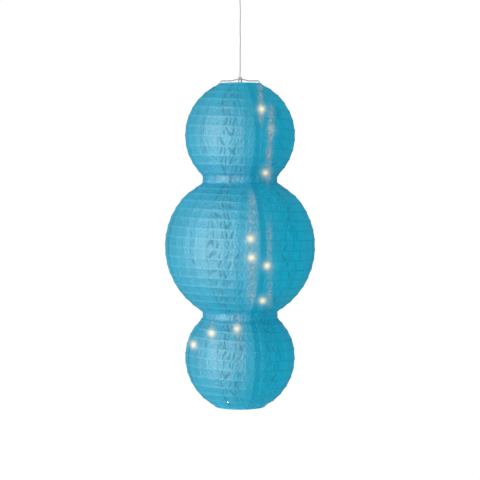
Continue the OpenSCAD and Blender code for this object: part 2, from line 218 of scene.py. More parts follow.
def centripetal(points, per_span=14):
    """A smooth route through the points. Each span is Barry and Goldman's pyramid of straight
    mixes, with knots spaced by the square root of the distance between points."""
    p = np.asarray(points, float)
    p = np.vstack([2 * p[0] - p[1], p, 2 * p[-1] - p[-2]])
    gap = np.sqrt(np.linalg.norm(np.diff(p, axis=0), axis=1))
    t = np.concatenate([[0], np.cumsum(gap)])
    p0, p1, p2, p3 = (p[k:len(p) - 3 + k, None, :] for k in range(4))
    t0, t1, t2, t3 = (t[k:len(t) - 3 + k, None, None] for k in range(4))
    x = t1 + (t2 - t1) * np.linspace(0, 1, per_span, endpoint=False)[None, :, None]

    def mix(a, b, ta, tb):
        return (tb - x) / (tb - ta) * a + (x - ta) / (tb - ta) * b

    a1, a2, a3 = mix(p0, p1, t0, t1), mix(p1, p2, t1, t2), mix(p2, p3, t2, t3)
    b1, b2 = mix(a1, a2, t0, t2), mix(a2, a3, t1, t3)
    return np.vstack([mix(b1, b2, t1, t2).reshape(-1, 3), p[-2]])


def evenly(route, spacing):
    """The route again, at points a nearly equal distance apart along it."""
    run = np.concatenate([[0], np.cumsum(np.linalg.norm(np.diff(route, axis=0), axis=1))])
    at = np.linspace(0, run[-1], max(int(run[-1] / spacing), 2) + 1)
    return np.stack([np.interp(at, run, route[:, k]) for k in range(3)], 1)


def frames_along(route):
    """Two directions square to the route at each of its points, each pair being the pair
    before it, turned as little as the route lets it."""
    ahead = unit(np.gradient(route, axis=0))
    start = np.cross(ahead[0], [0.31, 0.94, 0.12])
    side = np.empty_like(route)
    side[0] = start / np.linalg.norm(start)
    for k in range(1, len(route)):
        v = side[k - 1] - ahead[k] * (side[k - 1] @ ahead[k])
        side[k] = v / np.linalg.norm(v)
    return side, np.cross(ahead, side)


def capped_tube(route, side, up, reach):
    """A tube with closed ends: at each point of the route a ring lies at the distances
    `reach` (points by sides) from it, turning from `side` to `up`; a fan closes each end."""
    rows, sides = reach.shape
    turn = np.linspace(0, 2 * math.pi, sides, endpoint=False)
    out = np.cos(turn)[None, :, None] * side[:, None] + np.sin(turn)[None, :, None] * up[:, None]
    points = (route[:, None] + reach[..., None] * out).reshape(-1, 3)
    quads = grid_quads(rows, sides, wrap_cols=True)
    j = np.arange(sides)
    first, last = len(points), len(points) + 1
    fans = np.vstack([
        np.stack([(j + 1) % sides, j, np.full(sides, first)], 1),
        np.stack([j, (j + 1) % sides, np.full(sides, last)], 1) + [
            (rows - 1) * sides, (rows - 1) * sides, 0],
    ])
    return np.vstack([points, route[:1], route[-1:]]), quads, fans


def twisted_reach(run, sides, thickness, strands, twist):
    """Distance from a cord's middle to its surface: the strands are lobes that go once round
    the cord in each length of twist."""
    turn = np.linspace(0, 2 * math.pi, sides, endpoint=False)[None]
    lobe = np.abs(np.cos(strands / 2 * (turn - 2 * math.pi * run[:, None] / twist)))
    return thickness / 2 * (0.82 + 0.18 * lobe ** 0.8)


def turned(profile, segments=48):
    """A closed profile of radius and height, turned round the Z axis."""
    a = np.linspace(0, 2 * math.pi, segments, endpoint=False)[:, None]
    r, z = profile[:, 0][None], profile[:, 1][None]
    points = np.stack([r * np.cos(a), r * np.sin(a), z + 0 * a], -1)
    return points.reshape(-1, 3), grid_quads(segments, len(profile), True, True)


def rounded(profile):
    """A closed profile with its corners cut twice, each time at a quarter of each side."""
    for _ in range(2):
        ahead = np.roll(profile, -1, axis=0)
        profile = np.stack([0.75 * profile + 0.25 * ahead, 0.25 * profile + 0.75 * ahead], 1)
        profile = profile.reshape(-1, 2)
    return profile


SHARP_FROM = math.radians(55)


def make_piece(name, shape, finish, body, uv=None, marks=None):
    """A mesh object from points, quads and triangles. If the volume that its faces enclose
    comes out below zero, they are turned over, so that they point outwards."""
    points, quads = shape[0], shape[1]
    tris = shape[2] if len(shape) > 2 else np.empty((0, 3), int)
    a, b, c, d = (points[quads[:, k]] for k in range(4))
    volume = np.einsum("ij,ij->", a, np.cross(b, c)) + np.einsum("ij,ij->", a, np.cross(c, d))
    if len(tris):
        a, b, c = (points[tris[:, k]] for k in range(3))
        volume += np.einsum("ij,ij->", a, np.cross(b, c))
    if volume < 0:
        quads, tris = quads[:, ::-1], tris[:, ::-1]
    corners = np.concatenate([quads.ravel(), tris.ravel()]).astype(np.int32)
    starts = np.concatenate([
        np.arange(len(quads)) * 4, len(quads) * 4 + np.arange(len(tris)) * 3]).astype(np.int32)
    mesh = bpy.data.meshes.new(name)
    mesh.vertices.add(len(points))
    mesh.vertices.foreach_set("co", points.astype(np.float32).ravel())
    mesh.loops.add(len(corners))
    mesh.loops.foreach_set("vertex_index", corners)
    mesh.polygons.add(len(starts))
    mesh.polygons.foreach_set("loop_start", starts)
    mesh.update(calc_edges=True)
    mesh.polygons.foreach_set("use_smooth", np.ones(len(starts), bool))
    mesh.set_sharp_from_angle(angle=SHARP_FROM)
    if uv is not None:
        layer = mesh.uv_layers.new(name="weave")
        layer.data.foreach_set("uv", uv[corners].astype(np.float32).ravel())
    for mark, values in (marks or {}).items():
        attribute = mesh.attributes.new(mark, "FLOAT", "POINT")
        attribute.data.foreach_set("value", values.astype(np.float32))
    if mesh.validate():
        raise RuntimeError(f"{name}: the mesh has faces that aren't valid")
    piece = bpy.data.objects.new(name, mesh)
    bpy.context.scene.collection.objects.link(piece)
    mesh.materials.append(finish)
    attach(piece, body)
    return piece


# ---- Finishes ----------------------------------------------------------------------------


class Finish:
    """A material whose nodes are added one at a time, each with its inputs."""

    def __init__(self, name):
        self.material = bpy.data.materials.new(name)
        self.material.use_nodes = True
        self.nodes = self.material.node_tree.nodes
        self.links = self.material.node_tree.links
        self.nodes.clear()
        self.output = self.nodes.new("ShaderNodeOutputMaterial")

    def add(self, kind, inputs=None, **settings):
        """A node of that kind; an input is a value, or a socket that is linked to it."""
        node = self.nodes.new("ShaderNode" + kind)
        for key, value in settings.items():
            setattr(node, key, value)
        for key, value in (inputs or {}).items():
            socket = node.inputs[key]
            if isinstance(value, bpy.types.NodeSocket):
                self.links.new(value, socket)
            elif socket.type == "RGBA" and len(value) == 3:
                socket.default_value = (*value, 1)
            else:
                socket.default_value = value
        return node

    def place(self, scale=(1, 1, 1)):
        """Object coordinates, scaled."""
        return self.add("Mapping", {
            "Vector": self.add("TexCoord").outputs["Object"], "Scale": scale}).outputs[0]

    def weave_place(self, scale):
        """The piece's own UV map, which is in metres, scaled."""
        return self.add("Mapping", {
            "Vector": self.add("UVMap", uv_map="weave").outputs[0], "Scale": scale}).outputs[0]

    def mark(self, name):
        """A value that the mesh holds at each point."""
        return self.add("Attribute", attribute_name=name).outputs["Fac"]

    def calc(self, operation, *values, clamp=False):
        """A Math node."""
        return self.add("Math", dict(enumerate(values)), operation=operation,
                        use_clamp=clamp).outputs[0]

    def spread(self, value, low, high, to_low=0.0, to_high=1.0):
        """A value from one range to another, held at its ends."""
        return self.add("MapRange", {
            "Value": value, "From Min": low, "From Max": high, "To Min": to_low,
            "To Max": to_high}).outputs[0]

    def noise(self, scale, detail=3.0, roughness=0.55):
        """A cloudy pattern, with that many spots to a metre along each axis."""
        return self.add("TexNoise", {
            "Vector": self.place(scale), "Scale": 1.0, "Detail": detail,
            "Roughness": roughness}).outputs["Fac"]

    def blend(self, share, a, b):
        """A colour between two."""
        node = self.nodes.new("ShaderNodeMix")
        node.data_type = "RGBA"
        for socket, value in ((node.inputs[0], share), (node.inputs[6], a), (node.inputs[7], b)):
            if isinstance(value, bpy.types.NodeSocket):
                self.links.new(value, socket)
            elif socket.type == "RGBA":
                socket.default_value = (*value[:3], 1)
            else:
                socket.default_value = value
        return node.outputs[2]

    def bump(self, height, distance, strength=1.0, under=None):
        """A bump, on top of another."""
        inputs = {"Height": height, "Distance": distance, "Strength": strength}
        if under is not None:
            inputs["Normal"] = under
        return self.add("Bump", inputs).outputs[0]

    def close(self, shader):
        """The finished material."""
        self.links.new(shader, self.output.inputs["Surface"])
        return self.material


# The two rows of stitches, in mm from a strip's edge, and the length of one stitch with its gap
STITCH_ROWS = (2.0, 9.0)
STITCH_PITCH = 0.0026


def cloth_finish(name, sewn):
    """Thin dyed nylon: a fine weave and a crinkle in its bump, with painted shade along the
    crinkle's facets, in the puckers and round the necks; darker and closer at the double lap of a
    seam, partly as painted shade; painted light and shade on the rib's line; and painted light
    and glints where the lamps and the lit wire show through from behind."""
    cloth = bpy.context.scene.lantern_cloth
    f = Finish(name)
    dye = np.array(cloth.dye)
    fine = f.noise((420, 420, 420), 4.0, 0.6)
    broad = f.noise((16, 16, 9), 2.0, 0.5)
    crinkle = f.noise((230, 230, 260), 4.0, 0.7)
    colour = f.blend(f.spread(broad, 0.35, 0.65), dye * 0.93, dye * 1.05)
    colour = f.blend(f.spread(fine, 0.3, 0.7, 0.0, 0.22), colour, dye * 0.72)
    bent = f.add("VectorMath", {0: f.place(), 1: f.add("VectorMath", {
        0: f.add("TexNoise", {"Vector": f.place((120, 120, 120)), "Scale": 1.0}).outputs["Color"],
        "Scale": 0.006}, operation="SCALE").outputs[0]}, operation="ADD").outputs[0]
    facets = f.add("TexVoronoi", {"Vector": f.add("Mapping", {
        "Vector": bent, "Scale": (210, 210, 170)}).outputs[0], "Scale": 1.0}).outputs["Distance"]
    height = f.calc("ADD", f.calc("MULTIPLY", crinkle, 0.32), f.calc("MULTIPLY", facets, 0.48))
    # Painted shade of the crinkle: darker towards the edges of its facets, where its bump is
    # highest.
    colour = f.blend(f.spread(facets, 0.30, 0.75, 0.0, 0.16), colour, dye * 0.72)
    if sewn:
        crease, rib = f.mark("crease"), f.mark("rib_line")
        edge, lamp, wire = f.mark("edge_mm"), f.mark("lamp_light"), f.mark("wire_light")
        fold = f.spread(crease, 0.06, 0.66)
        # Painted shade: the cloth is darkened where it puckers and round the necks.
        colour = f.blend(f.calc("MULTIPLY", fold, 0.80), colour, dye * (1, 0.60, 0.62))
        # Painted light and shade on the rib's line: a painted highlight on the left, towards the
        # lights, and the wire's painted shadow through the cloth on the right.
        shady = f.spread(f.add("SeparateXYZ", {0: f.place()}).outputs["X"], -0.04, 0.06)
        pale = f.calc("MULTIPLY", rib, f.spread(shady, 0, 1, 0.42, 0.0))
        colour = f.blend(pale, colour, (0.14, 0.60, 0.78))
        colour = f.blend(f.calc("MULTIPLY", rib, f.spread(shady, 0, 1, 0.0, 0.50)), colour,
                         dye * (1, 0.60, 0.58))
        # The seam's lap is darker: partly the double cloth, partly painted shade.
        lap = f.calc("MULTIPLY", f.mark("lap_shade"), f.spread(
            edge, cloth.lap / MM - 0.3, cloth.lap / MM + 0.3, 1.0, 0.0))
        colour = f.blend(f.calc("MULTIPLY", lap, 0.75), colour, dye * (1, 0.80, 0.84))
        rows = [f.spread(f.calc("ABSOLUTE", f.calc("SUBTRACT", edge, row)), 0.2, 0.45, 1.0, 0.0)
                for row in STITCH_ROWS]
        along = f.add("SeparateXYZ", {0: f.weave_place((1, 1 / STITCH_PITCH, 1))}).outputs["Y"]
        dash = f.spread(f.calc("FRACT", along), 0.62, 0.72, 1.0, 0.0)
        stitch = f.calc("MULTIPLY", f.calc("MAXIMUM", *rows), dash)
        colour = f.blend(f.calc("MULTIPLY", stitch, 0.5), colour, dye * 1.12)
        rough_light = f.noise((230, 230, 120), 4.0, 0.7)
        patchy = f.spread(f.noise((26, 26, 48), 2.0), 0.36, 0.62, 0.45, 1.0)
        # Painted light: the lit string's upright runs as pinkish streaks with painted glints, and
        # the lamps as warm spots, in the cloth's colour.
        streak = f.calc("MULTIPLY", wire, f.calc(
            "MULTIPLY", patchy, f.spread(rough_light, 0.38, 0.60, 0.15, 1.0)))
        colour = f.blend(f.calc("MULTIPLY", streak, 0.85, clamp=True), colour, (0.60, 0.50, 0.49))
        glint = f.calc("MULTIPLY", f.spread(rough_light, 0.60, 0.68), wire)
        colour = f.blend(f.calc("MULTIPLY", glint, 0.8, clamp=True), colour, (0.86, 0.84, 0.80))
        colour = f.blend(f.calc("MULTIPLY", lamp, 0.85, clamp=True), colour, (0.80, 0.72, 0.52))
        height = f.calc("ADD", height, f.calc("MULTIPLY", stitch, 0.08))
    bump = f.bump(height, 0.0016, 1.0)
    threads = f.add("TexVoronoi", {"Vector": f.place((1500, 1500, 1500)), "Scale": 1.0})
    bump = f.bump(threads.outputs["Distance"], 0.00012, 0.5, bump)
    gloss = f.spread(fine, 0.2, 0.8, 0.58, 0.72)
    if sewn:
        gloss = f.calc("MAXIMUM", gloss, f.spread(fold, 0, 0.8, 0.5, 0.80))
        smooth = f.calc(
            "MAXIMUM", f.calc("MULTIPLY", f.mark("nap"), 0.14), f.calc("MULTIPLY", lap, 0.26))
        gloss = f.calc("SUBTRACT", gloss, smooth)
    inputs = {
        "Base Color": colour, "Roughness": gloss, "Specular IOR Level": 0.10, "Normal": bump,
    }
    if sewn:
        # Painted light: the glow of the lamps and the lit string on the cloth.
        inputs["Emission Color"] = cloth.light_through[:]
        inputs["Emission Strength"] = f.calc(
            "ADD", f.calc("MULTIPLY", lamp, 0.34), f.calc("MULTIPLY", streak, 0.04))
    face = f.add("BsdfPrincipled", inputs).outputs[0]
    through = f.add("BsdfTranslucent", {"Color": colour, "Normal": bump}).outputs[0]
    return f.close(f.add("MixShader", {0: 0.20, 1: face, 2: through}).outputs[0])


def plastic_finish(name, colour, roughness=0.42):
    """Moulded plastic: a faint orange-peel skin, flow marks and a little yellowing."""
    f = Finish(name)
    peel = f.noise((900, 900, 900), 2.0)
    flow = f.noise((90, 90, 35), 3.0)
    tint = f.blend(f.spread(flow, 0.3, 0.7), np.array(colour) * 0.94,
                   np.minimum(np.array(colour) * (1.04, 1.03, 1.0), 1))
    return f.close(f.add("BsdfPrincipled", {
        "Base Color": tint,
        "Roughness": f.spread(peel, 0.3, 0.7, roughness - 0.06, roughness + 0.08),
        "Specular IOR Level": 0.12, "Subsurface Weight": 0.06,
        "Subsurface Radius": (0.004, 0.004, 0.004),
        "Normal": f.bump(peel, 0.00006, 0.6)}).outputs[0])


def coated_wire_finish():
    """Steel wire under white plastic: small drips and a few grey rubs."""
    colour = np.array(bpy.context.scene.lantern_fittings.wire)
    f = Finish("coated wire")
    drip = f.noise((260, 260, 120), 3.0)
    rub = f.spread(f.noise((700, 700, 700), 5.0, 0.7), 0.60, 0.68)
    tint = f.blend(f.calc("MULTIPLY", rub, 0.6), colour, colour * 0.55)
    return f.close(f.add("BsdfPrincipled", {
        "Base Color": tint, "Roughness": f.spread(drip, 0.3, 0.7, 0.32, 0.5),
        "Specular IOR Level": 0.15,
        "Normal": f.bump(drip, 0.00015, 0.7)}).outputs[0])


def steel_finish(name, colour, roughness=0.3):
    """Drawn steel: fine drawing marks along it and dull spots."""
    f = Finish(name)
    marks = f.noise((2400, 2400, 500), 2.0)
    dull = f.noise((300, 300, 300), 4.0, 0.65)
    tint = f.blend(f.spread(dull, 0.35, 0.7), np.array(colour), np.array(colour) * 0.72)
    return f.close(f.add("BsdfPrincipled", {
        "Base Color": tint, "Metallic": 1.0,
        "Roughness": f.spread(dull, 0.3, 0.75, roughness - 0.08, roughness + 0.2),
        "Normal": f.bump(marks, 0.00004, 0.5)}).outputs[0])


def cord_finish(name, colour, clear):
    """Nylon strands: bright filaments along the cord, and painted shade in the grooves between
    the strands.
    """
    f = Finish(name)
    groove = f.mark("groove")
    hair = f.noise((2200, 2200, 300), 3.0)
    tint = f.blend(f.spread(hair, 0.3, 0.7), np.array(colour) * 0.85,
                   np.minimum(np.array(colour) * 1.15, 1))
    # Painted shade in the grooves between the strands.
    tint = f.blend(f.calc("MULTIPLY", groove, 0.65), tint, np.array(colour) * 0.45)
    face = f.add("BsdfPrincipled", {
        "Base Color": tint, "Roughness": f.spread(hair, 0.2, 0.8, 0.45, 0.6),
        "Specular IOR Level": 0.06,
        "Normal": f.bump(hair, 0.00008, 0.6)}).outputs[0]
    through = f.add("BsdfTranslucent", {"Color": tint}).outputs[0]
    return f.close(f.add("MixShader", {0: clear, 1: face, 2: through}).outputs[0])


def bead_finish():
    """A clear frosted bead with its small light inside: brightest round the middle."""
    f = Finish("lamp bead")
    frost = f.noise((1200, 1200, 1200), 2.0)
    core = f.mark("core")
    glow = f.calc("ADD", f.calc("MULTIPLY", core, 7.0), 1.2)
    return f.close(f.add("BsdfPrincipled", {
        "Base Color": f.blend(frost, (0.80, 0.78, 0.70), (0.90, 0.88, 0.80)),
        "Roughness": f.spread(frost, 0.3, 0.7, 0.18, 0.34), "IOR": 1.49,
        "Emission Color": bpy.context.scene.lantern_cloth.light_through[:],
        "Emission Strength": glow, "Normal": f.bump(frost, 0.00005, 0.5)}).outputs[0])


def cell_finish():
    """A battery cell: a plain printed sleeve with a lighter band, and a bare steel end."""
    top = box_of("cell_left")[1][2]
    colour = np.array(bpy.context.scene.lantern_fittings.jacket)
    f = Finish("cell jacket")
    height = f.add("SeparateXYZ", {0: f.place()}).outputs["Z"]
    scuff = f.noise((500, 500, 120), 4.0, 0.6)
    band = f.spread(height, top - 0.0155, top - 0.0150)
    end = f.spread(height, top - 0.0022, top - 0.0019)
    tint = f.blend(band, colour, (0.62, 0.44, 0.12))
    tint = f.blend(end, tint, (0.6, 0.6, 0.6))
    tint = f.blend(f.spread(scuff, 0.55, 0.75, 0, 0.4), tint, (0.5, 0.5, 0.5))
    return f.close(f.add("BsdfPrincipled", {
        "Base Color": tint, "Metallic": end, "Roughness": f.spread(scuff, 0.3, 0.7, 0.25, 0.42),
        "Normal": f.bump(scuff, 0.00004, 0.4)}).outputs[0])


def floor_finish():
    """Pale matt floor with a faint mottle."""
    f = Finish("pale floor")
    mottle = f.noise((3, 3, 3), 4.0)
    return f.close(f.add("BsdfPrincipled", {
        "Base Color": f.blend(mottle, (0.80, 0.80, 0.79), (0.84, 0.84, 0.83)),
        "Roughness": 0.8}).outputs[0])


# ---- The shade's outline and its rib -----------------------------------------------------


class Outline:
    """The shade's side view, followed from the top ring down: ball, neck, ball, neck, ball."""

    def __init__(self, cloth):
        top, mid, low = (d / 2 for d in (cloth.top_ball, cloth.middle_ball, cloth.bottom_ball))
        neck, band = cloth.neck / 2, cloth.neck_band
        hem = RING_WIRE + HEM_REACH
        a0, a1 = math.asin((RIM_R + hem) / top), math.pi - math.asin(neck / top)
        b0, b1 = math.asin(neck / mid), math.pi - math.asin(neck / mid)
        c0, c1 = math.asin(neck / low), math.pi - math.asin((FOOT_R + hem) / low)
        za = RIM_Z - top * math.cos(a0)
        zb = za + top * math.cos(a1) - band - mid * math.cos(b0)
        zc = zb + mid * math.cos(b1) - band - low * math.cos(c0)
        self.balls = ((top, za, a0, a1), (mid, zb, b0, b1), (low, zc, c0, c1))
        runs = [top * (a1 - a0), band, mid * (b1 - b0), band, low * (c1 - c0)]
        self.starts = np.concatenate([[0], np.cumsum(runs)])
        self.length = float(self.starts[-1])
        self.neck = neck
        self.half_pitch = self.length / (2 * cloth.turns + 2)

    def at(self, s):
        """Radius, height and outward direction at a length s: a ball's point lies at its
        radius and at an angle that grows evenly with s, and a neck is straight. A bell
        rounds each neck's corners, and the cloth under a neck hangs a little lower, with a
        smooth step in and a longer one out."""
        s = np.clip(s, 0, self.length)
        r, z = np.empty_like(s), np.empty_like(s)
        nr, nz = np.ones_like(s), np.zeros_like(s)
        for k, (radius, middle, first, last) in enumerate(self.balls):
            here = (s >= self.starts[2 * k]) & (s <= self.starts[2 * k + 1])
            a = first + (s[here] - self.starts[2 * k]) / radius
            r[here], z[here] = radius * np.sin(a), middle + radius * np.cos(a)
            nr[here], nz[here] = np.sin(a), np.cos(a)
            if k < 2:
                neck = (s > self.starts[2 * k + 1]) & (s < self.starts[2 * k + 2])
                r[neck] = self.neck
                z[neck] = middle + radius * math.cos(last) - (s[neck] - self.starts[2 * k + 1])
        for corner in self.starts[1:5]:
            r += 0.0014 * np.exp(-((s - corner) / 0.005) ** 2)
        for start, reach in ((1, 0.0032), (3, 0.0020)):
            top, foot = self.starts[start], self.starts[start + 1]
            z -= reach * smooth_step((s - top) / (foot - top)) * (
                1 - smooth_step((s - foot - 0.012) / 0.050))
        return r, z, nr, nz


def rib_drop(angle):
    """How many half pitches the rib has dropped after turning that far from -X, by way of the
    front: each half turn lies in one slanted plane, so it drops with the cosine."""
    half = np.floor(angle / math.pi)
    return half + (1 - np.cos(angle - half * math.pi)) / 2


def smooth_step(x):
    """From 0 to 1 with level ends."""
    x = np.clip(x, 0, 1)
    return x * x * (3 - 2 * x)


# ---- Routes of the cords, in metres ------------------------------------------------------

CORD_ROUTE = MM * np.array([
    [0, 0, -49.0], [0, 0, -56], [0.4, 0, -66], [0.8, 0, -76], [0.6, 0, -90],
    [0.3, 0, -105], [0.4, 0, -120], [0.8, 0.3, -130], [0.6, 0.3, -142], [0.3, 0, -155],
    [0.3, 0, -168], [0.4, 0, -180], [0.2, 0, -192], [0, 0, -200], [0, 0, -207.2],
])

STRING_ROUTE = MM * np.array([
    [0, 0, -289.3], [0, 0, -298], [4, -8, -314], [16, -34, -318], [28, -56, -292],
    [38, -66, -256], [42, -74, -258], [42, -76, -264], [42, -76, -280], [46, -78, -296],
    [54, -76, -294], [60, -73, -286], [62, -74, -304], [62, -74, -320], [60, -68, -350],
    [52, -46, -378], [50, -40, -388], [50, -40, -404], [48, -40, -422], [50, -62, -452],
    [52, -98, -492], [52, -116, -530], [52, -122, -566], [52, -122, -582], [50, -108, -612],
    [44, -78, -636], [44, -78, -652], [38, -74, -662], [30, -80, -656], [26, -98, -628],
    [22, -126, -590], [22, -134, -566], [22, -134, -550], [20, -123, -532], [20, -123, -512],
    [14, -104, -482], [4, -84, -476], [-4, -72, -490], [-8, -64, -530], [-8, -60, -606],
    [-8, -60, -650], [-6, -62, -680], [-6, -70, -692], [-6, -70, -708], [-20, -78, -724],
    [-40, -72, -714], [-50, -62, -698], [-56, -56, -702], [-56, -56, -718], [-66, -54, -732],
    [-82, -42, -730], [-92, -20, -722], [-92, -20, -744], [-90, 2, -760], [-80, 34, -760],
    [-60, 66, -756], [-58, 66, -762], [-58, 66, -778], [-44, 80, -796], [-22, 88, -804],
    [-4, 92, -796], [0, 92, -800], [0, 92, -812],
])


# The upright runs of the string that shine through the cloth: x and z of the top and of the
# foot, half width, all in millimetres, then strength, and 1 where the run stops at a seam
SHINE = np.array([
    [40, -222, 41, -282, 5.0, 0.85, 0], [61, -284, 55, -396, 5.5, 1.0, 0],
    [26, -446, 23, -640, 9.0, 0.72, 1], [57, -504, 57, -648, 4.5, 0.50, 0],
    [-3, -684, -2, -756, 5.0, 0.36, 0], [-55, -700, -54, -736, 4.0, 0.30, 0],
]) * [MM, MM, MM, MM, MM, 1, 1]


# ---- The cloth ---------------------------------------------------------------------------

GORE_COLUMNS = 72
ROWS_PER_TURN = 10
FIRST_SEAM = math.radians(-75)
GORE_STEP = 2 * math.pi / GORES
# How brightly each lamp shows in the cloth; the second hangs with its light turned away
LAMP_SHARE = (1, 0.22, 1, 1, 1, 1, 1, 1, 1, 1, 1, 1)
# The two bells of a lamp's light on the cloth: their reach, and the wide one's share
GLOW_CORE, GLOW_HALO, HALO_SHARE = 0.0060, 0.0115, 0.20
# The puckers' waves: length, lean, height and the power that narrows their crests
PUCKER_WAVES = ((0.0098, 0.30, 0.85, 2.6), (0.0150, -0.34, 0.75, 2.8), (0.0060, 0.45, 0.40, 2.0))
# How strongly the puckers show on each strip, and how far from its middle they gather
PUCKER_SHARE = (0.75, 0.7, 0.9, 0.6, 1.0, 0.7, 0.6, 1.0)
PUCKER_PLACE = (0.004, -0.012, 0.008, -0.006, -0.010, 0.012, 0.010, -0.014)
# How smoothly the weave of each strip lies, from 0 to 1
CLOTH_NAP = (1.0, 0.6, 0.3, 0.7, 0.4, 0.6, 0.15, 0.0)
# How much darker each strip's lap is than its single cloth, from 0 to 1: partly the double cloth
# and partly painted shade, strongest on the eighth strip's lap beside the highlight
LAP_PLY_AND_PAINTED_SHADE = (0.45, 0.4, 0.5, 0.4, 0.5, 0.35, 0.12, 1.0)
# Between the two plies of a lap, and the cloth turned in at a strip's two ends together
PLY_GAP = 0.00005


def relief(cloth, x, turn, s, r, number):
    """How far the cloth lies outside the outline. It sags in a parabola between two turns of the
    rib, is lifted in a narrow ridge by the rib, and dips in puckers, which are the upper halves
    of waves across the strip, with a new phase, width and slant in every gap between two turns,
    deepest in the middle of the gap and in one column of the strip. Returns the relief, the
    puckers' strength, held up to a floor round the necks, which the cloth's finish paints as
    shade, and the rib's line."""
    rng = np.random.default_rng(70 + number)
    row = np.floor(turn).astype(int)
    t = 2 * (turn - row) - 1
    row = np.clip(row + 3, 0, 59)
    phase = rng.uniform(0, 1, (5, 60))[:, row]
    slant = (rng.uniform(0.55, 1, (3, 60)) * rng.choice([-1, 1], (3, 60)))[:, row]
    width = rng.uniform(0.8, 1.25, (3, 60))[:, row]
    bend = 0.25 * np.sin(2 * math.pi * (x / 0.027 + phase[2]))
    wave = np.zeros(np.broadcast(x, t).shape)
    for k, (length, lean, height, power) in enumerate(PUCKER_WAVES):
        crest = np.cos(2 * math.pi * (
            x / (length * width[k]) + phase[k] + lean * slant[k] * t + bend))
        alive = 0.5 + 0.5 * np.sin(2 * math.pi * (x / (3.3 * length) + phase[4 - k] + 0.3 * k))
        upper = np.sin(2 * math.pi * (x / 0.031 + phase[3] + 0.3 * k))
        stand = np.clip(1 + 0.75 * t * upper, 0, 2)
        wave += height * np.maximum(crest, 0) ** power * smooth_step(1.5 * alive) * stand
    scale = r / 0.15
    place = (PUCKER_PLACE[number - 1] + rng.uniform(-0.008, 0.008, 60)[row]) * scale
    column = np.exp(-((x - place) / (0.027 * (0.5 + 0.5 * scale))) ** 4)
    at_neck = np.exp(-((r - cloth.neck / 2) / 0.010) ** 2)
    gather = np.maximum(PUCKER_SHARE[number - 1] * (0.44 + 0.56 * column), 0.75 * at_neck)
    gap = np.clip(1 - t * t, 0, 1) ** 0.6
    inside = 1 - smooth_step((np.abs(x) - (r * GORE_STEP / 2 - cloth.lap - 0.004)) / 0.008)
    crease = wave * gather * gap * inside
    slack = 1 + 0.35 * inside * np.sin(2 * math.pi * (x / 0.055 + 0.37 * row) + number)
    scallop = -cloth.sag * (1 - t * t) * slack
    from_rib = (1 - np.abs(t)) * s[1]
    line = np.exp(-(from_rib / 0.0014) ** 2)
    long_wave = 0.00035 * inside * np.sin(2 * math.pi * x / 0.027 + 9 * s[0] + number)
    lift = scallop + 0.0004 * line - cloth.pucker * crease + long_wave
    # The puckers' strength, held up round the necks, is what the cloth's finish paints as shade.
    return lift, np.maximum(crease, 0.17 * at_neck), line


def light_of_lamps(points):
    """How brightly each point of the cloth is lit by the lamps: for each lamp a narrow and a
    wide bell of the distance from where the lamp shows on the cloth, straight ahead of a lamp
    in the front half and straight out from the axis behind."""
    total = np.zeros(len(points))
    for k in range(LAMPS):
        lamp = middle_of(f"lamp_{k + 1}")
        if lamp[1] < 0:
            gap = np.hypot(points[:, 0] - lamp[0], points[:, 2] - lamp[2])
            gap = np.where(points[:, 1] < 0, gap, 1)
        else:
            far = np.hypot(points[:, 0], points[:, 1])
            out = lamp[:2] / np.linalg.norm(lamp[:2])
            gap = np.linalg.norm(
                points - np.stack([out[0] * far, out[1] * far, 0 * far + lamp[2]], 1), axis=1)
        total += LAMP_SHARE[k] * (
            np.exp(-(gap / GLOW_CORE) ** 2) + HALO_SHARE * np.exp(-(gap / GLOW_HALO) ** 2))
    return np.minimum(total, 1.2)


def light_of_string(points, seam_x):
    """How brightly each point of the cloth shows the lit string's upright runs behind it: the
    highest of the bells of the sideways distance to each run, which fade out past its ends.
    Only the front half shows them, and the broad run stops at the seam on its right."""
    x, z = points[:, 0, None], points[:, 2, None]
    top_x, top_z, foot_x, foot_z, wide, share, stops = (SHINE[:, k][None] for k in range(7))
    down = np.clip((z - top_z) / (foot_z - top_z), 0, 1)
    side = x - (top_x + (foot_x - top_x) * down)
    past = np.maximum(np.maximum(z - top_z, foot_z - z), 0)
    bell = share * np.exp(-(side / wide) ** 2 - (past / 0.018) ** 2)
    bell = np.where((stops > 0) & (x > seam_x[:, None]), 0.12 * bell, bell)
    return bell.max(axis=1) * smooth_step((-points[:, 1] - 0.01) / 0.02)


